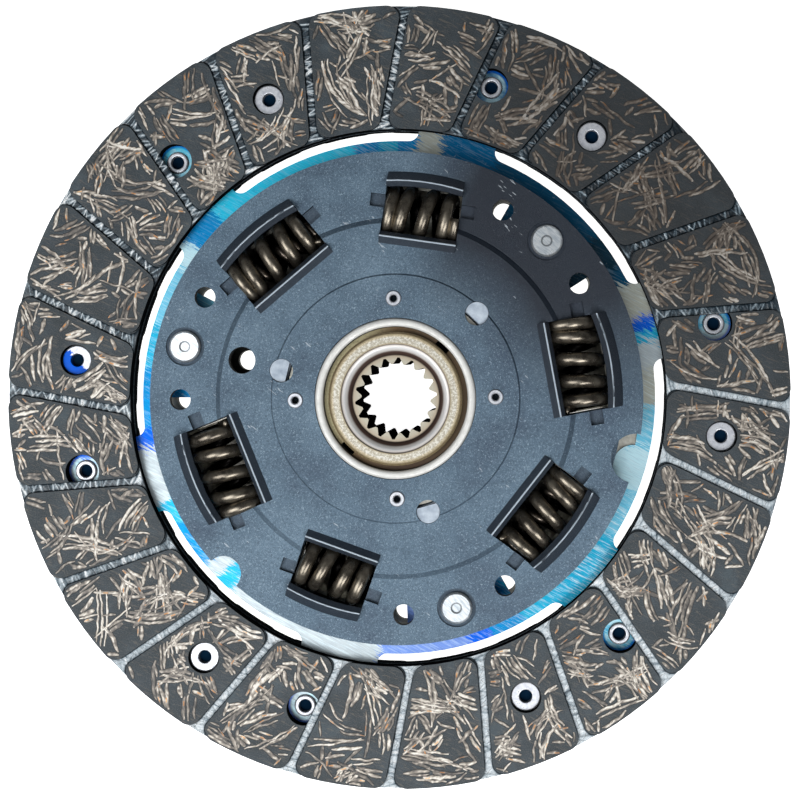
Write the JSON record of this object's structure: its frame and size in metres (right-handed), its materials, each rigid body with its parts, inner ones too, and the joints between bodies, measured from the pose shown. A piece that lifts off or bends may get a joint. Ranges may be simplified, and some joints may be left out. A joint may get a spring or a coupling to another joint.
{
  "type": "clutch disc",
  "caption": "Clutch disc with grooved friction facings on a cushioned steel carrier, a sprung torsion damper and a splined hub.",
  "frame": {"origin": "centre of the hub's rear end face, which the disc stands on", "axes": "+Z along the shaft axis, from the rear end of the hub towards the front plate; +Y is dial angle 0"},
  "size_m": [0.2, 0.2, 0.0264],
  "materials": {
    "friction_lining": "moulded fibre composite, matt",
    "blued_steel": "blued spring steel",
    "phosphated_steel": "dark phosphate, matt",
    "bright_steel": "bare bright steel",
    "rivet_steel": "zinc plated",
    "pin_steel": "zinc plated, satin",
    "passivated_steel": "turned and yellow passivated",
    "sleeve_brass": "gilt, worn",
    "bush_steel": "polished light steel",
    "washer_plastic": "light grey moulding",
    "predamper_plastic": "dark glass-filled moulding",
    "spring_steel": "oiled dark spring wire",
    "inner_spring_steel": "bright spring wire"
  },
  "bodies": {
    "hub_body": {"hub": "passivated_steel", "hub_sleeve": "sleeve_brass", "predamper_hub_plate": "bright_steel"},
    "flange_body": {"hub_flange": "phosphated_steel", "predamper_housing": "predamper_plastic", "predamper_cover": "predamper_plastic"},
    "disc_body": {"bush_retainer": "bright_steel", "carrier_disc": "blued_steel", "diaphragm_spring": "inner_spring_steel", "front_bush": "bush_steel", "front_cover_plate": "phosphated_steel", "front_facing": "friction_lining", "front_facing_rivets": "rivet_steel", "front_friction_washer": "washer_plastic", "rear_bush": "washer_plastic", "rear_cover_plate": "bright_steel", "rear_facing": "friction_lining", "rear_facing_rivets": "rivet_steel", "rear_friction_washer": "washer_plastic", "stop_pins": "pin_steel", "tubular_rivets": "rivet_steel"},
    "main_springs": {"damper_spring_1": "spring_steel", "damper_spring_2": "spring_steel", "damper_spring_3": "spring_steel", "damper_spring_4": "spring_steel", "damper_spring_5": "spring_steel", "damper_spring_6": "spring_steel", "inner_spring_1": "inner_spring_steel", "inner_spring_2": "inner_spring_steel"},
    "light_springs": {"predamper_spring_1": "inner_spring_steel", "predamper_spring_2": "inner_spring_steel", "predamper_spring_3": "inner_spring_steel", "predamper_spring_4": "inner_spring_steel"}
  },
  "joints": [
    {"name": "predamper", "type": "hinge", "parent": "hub_body", "child": "flange_body", "pos_m": [0, 0, 0.0148], "axis": [0, 0, 1], "range_deg": [-4, 4], "stiffness_Nm_per_rad": 80},
    {"name": "main_damper", "type": "hinge", "parent": "flange_body", "child": "disc_body", "pos_m": [0, 0, 0.019], "axis": [0, 0, 1], "range_deg": [-8, 8], "stiffness_Nm_per_rad": 1000},
    {"name": "main_spring_shift", "type": "hinge", "parent": "flange_body", "child": "main_springs", "pos_m": [0, 0, 0.019], "axis": [0, 0, 1], "range_deg": [-4, 4], "deforming": ["damper_spring_1", "damper_spring_2", "damper_spring_3", "damper_spring_4", "damper_spring_5", "damper_spring_6", "inner_spring_1", "inner_spring_2"]},
    {"name": "light_spring_shift", "type": "hinge", "parent": "hub_body", "child": "light_springs", "pos_m": [0, 0, 0.0148], "axis": [0, 0, 1], "range_deg": [-2, 2], "deforming": ["predamper_spring_1", "predamper_spring_2", "predamper_spring_3", "predamper_spring_4"]}
  ],
  "couplings": [
    {"joint": "main_spring_shift", "follows": "main_damper", "ratio": 0.5},
    {"joint": "light_spring_shift", "follows": "predamper", "ratio": 0.5}
  ]
}
